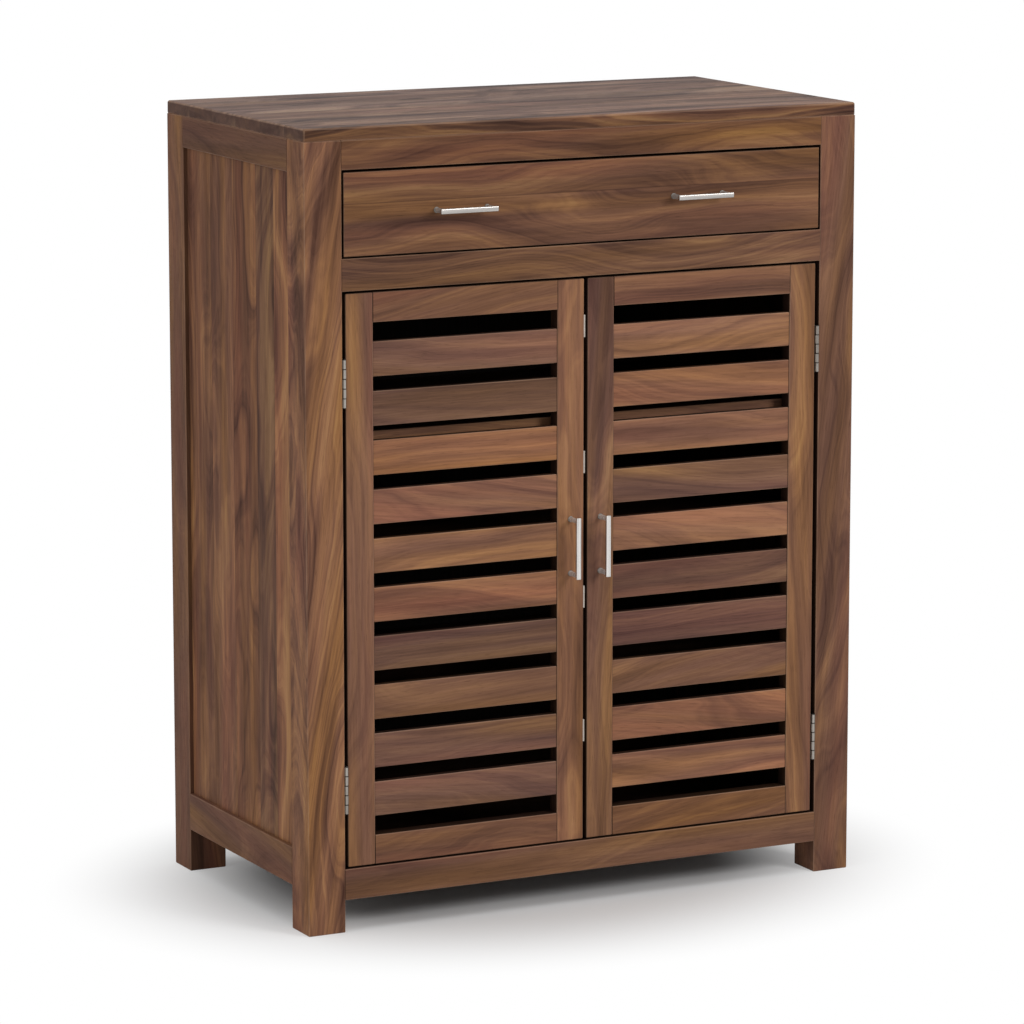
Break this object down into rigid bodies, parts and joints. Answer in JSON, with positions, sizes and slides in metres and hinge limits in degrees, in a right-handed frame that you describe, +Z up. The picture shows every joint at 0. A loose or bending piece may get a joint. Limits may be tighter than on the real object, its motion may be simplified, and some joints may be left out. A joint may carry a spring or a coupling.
{
  "type": "louvred door cabinet",
  "caption": "Free-standing cabinet of solid wood with a full-width drawer above a pair of slatted louvre doors on butt hinges, with shelves inside and bar handles.",
  "frame": {"origin": "on the floor, at the middle of the box that encloses the closed cabinet with its handles", "axes": "+Z up, +X to the right of someone facing the doors, the doors and the drawer face -Y"},
  "size_m": [0.77, 0.4436, 1],
  "materials": {
    "frame_wood": "satin rosewood, dark streaks along the grain",
    "door_wood": "satin rosewood, each stile its own tone",
    "slat_wood": "satin rosewood, grain along the slat",
    "drawer_wood": "satin rosewood, grain across the front",
    "panel_wood": "satin rosewood boards edge to edge, grain upright",
    "top_wood": "satin rosewood boards, grain across the width",
    "inner_wood": "plain oiled hardwood",
    "back_plywood": "stained plywood",
    "handle_nickel": "satin nickel",
    "hinge_steel": "plated steel",
    "catch_plastic": "brown plastic",
    "buffer_felt": "pale felt"
  },
  "bodies": {
    "carcass": {"back_panel": "back_plywood", "bottom_board": "inner_wood", "bottom_cleats": "inner_wood", "door_catches": "catch_plastic", "drawer_stop_block": "inner_wood", "front_left_post": "frame_wood", "front_lower_rail": "frame_wood", "front_middle_rail": "frame_wood", "front_right_post": "frame_wood", "front_upper_rail": "frame_wood", "hinge_pins": "hinge_steel", "left_drawer_kicker": "inner_wood", "left_drawer_runner": "inner_wood", "left_frame_hinge_leaves": "hinge_steel", "left_lower_side_rail": "frame_wood", "left_side_panel": "panel_wood", "left_upper_side_rail": "frame_wood", "lower_shelf": "inner_wood", "middle_shelf": "inner_wood", "rear_left_post": "frame_wood", "rear_lower_rail": "frame_wood", "rear_right_post": "frame_wood", "rear_upper_rail": "frame_wood", "right_drawer_kicker": "inner_wood", "right_drawer_runner": "inner_wood", "right_frame_hinge_leaves": "hinge_steel", "right_lower_side_rail": "frame_wood", "right_side_panel": "panel_wood", "right_upper_side_rail": "frame_wood", "shelf_cleats": "inner_wood", "top_board": "top_wood", "upper_shelf": "inner_wood"},
    "left_door": {"left_door_bottom_rail": "door_wood", "left_door_buffers": "buffer_felt", "left_door_handle": "handle_nickel", "left_door_hinge_leaves": "hinge_steel", "left_door_hinge_stile": "door_wood", "left_door_meeting_stile": "door_wood", "left_door_slats": "slat_wood", "left_door_strike": "hinge_steel", "left_door_top_rail": "door_wood"},
    "right_door": {"right_door_bottom_rail": "door_wood", "right_door_handle": "handle_nickel", "right_door_hinge_leaves": "hinge_steel", "right_door_hinge_stile": "door_wood", "right_door_meeting_stile": "door_wood", "right_door_slats": "slat_wood", "right_door_strike": "hinge_steel", "right_door_top_rail": "door_wood"},
    "drawer": {"drawer_back": "inner_wood", "drawer_bottom": "back_plywood", "drawer_front": "drawer_wood", "drawer_left_handle": "handle_nickel", "drawer_left_side": "inner_wood", "drawer_right_handle": "handle_nickel", "drawer_right_side": "inner_wood"}
  },
  "joints": [
    {"name": "left_door_swing", "type": "hinge", "parent": "carcass", "child": "left_door", "pos_m": [-0.3325, -0.19775, 0.4335], "axis": [0, 0, -1], "range_deg": [0, 170]},
    {"name": "right_door_swing", "type": "hinge", "parent": "carcass", "child": "right_door", "pos_m": [0.3325, -0.19775, 0.4335], "axis": [0, 0, 1], "range_deg": [0, 170]},
    {"name": "drawer_slide", "type": "slide", "parent": "carcass", "child": "drawer", "axis": [0, -1, 0], "range_m": [0, 0.3]}
  ]
}
